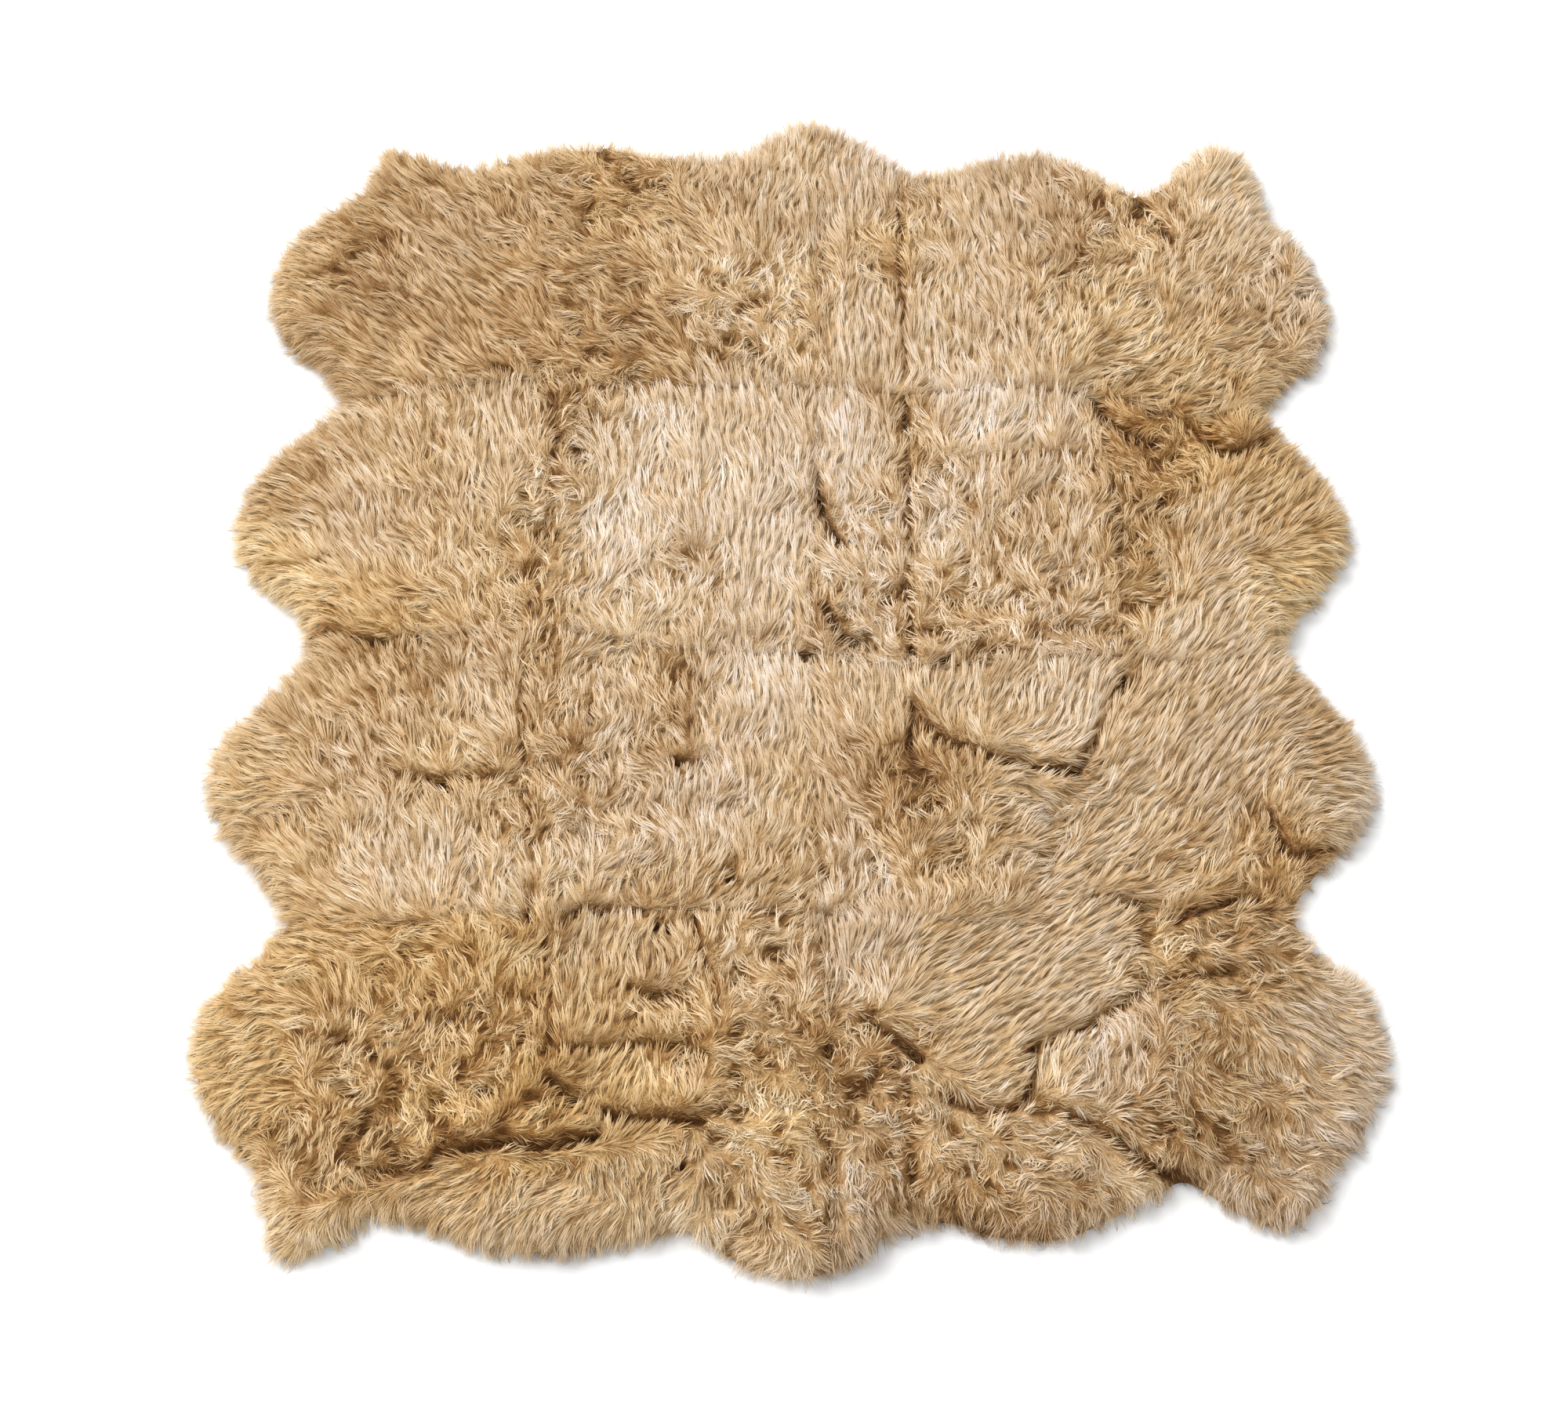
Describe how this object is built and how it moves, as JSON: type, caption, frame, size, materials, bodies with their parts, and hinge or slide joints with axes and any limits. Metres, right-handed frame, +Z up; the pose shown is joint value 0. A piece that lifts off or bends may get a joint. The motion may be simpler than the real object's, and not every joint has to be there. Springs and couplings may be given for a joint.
{
  "type": "sheepskin rug",
  "caption": "Flat sheepskin rug of pelts sewn in two columns, with scalloped lobes at the sides, a tongue and ears at the ends, and a thick lumpy fleece.",
  "frame": {"origin": "middle of the rug on the surface that it lies on", "axes": "+Z up, out of the fleece; +Y from the front edge to the back edge; +X to the right"},
  "size_m": [1.8772, 2.069, 0.064],
  "materials": {
    "fleece": "long soft wool in wavy locks, beige with pale tips, matt",
    "hide": "suede flesh side of the pelts, pale tan, matt"
  },
  "bodies": {
    "root": {"pelt_left_1": "fleece", "pelt_left_2": "fleece", "pelt_left_3": "fleece", "pelt_left_4": "fleece", "pelt_right_1": "fleece", "pelt_right_2": "fleece", "pelt_right_3": "fleece", "pelt_right_4": "fleece"}
  },
  "joints": []
}
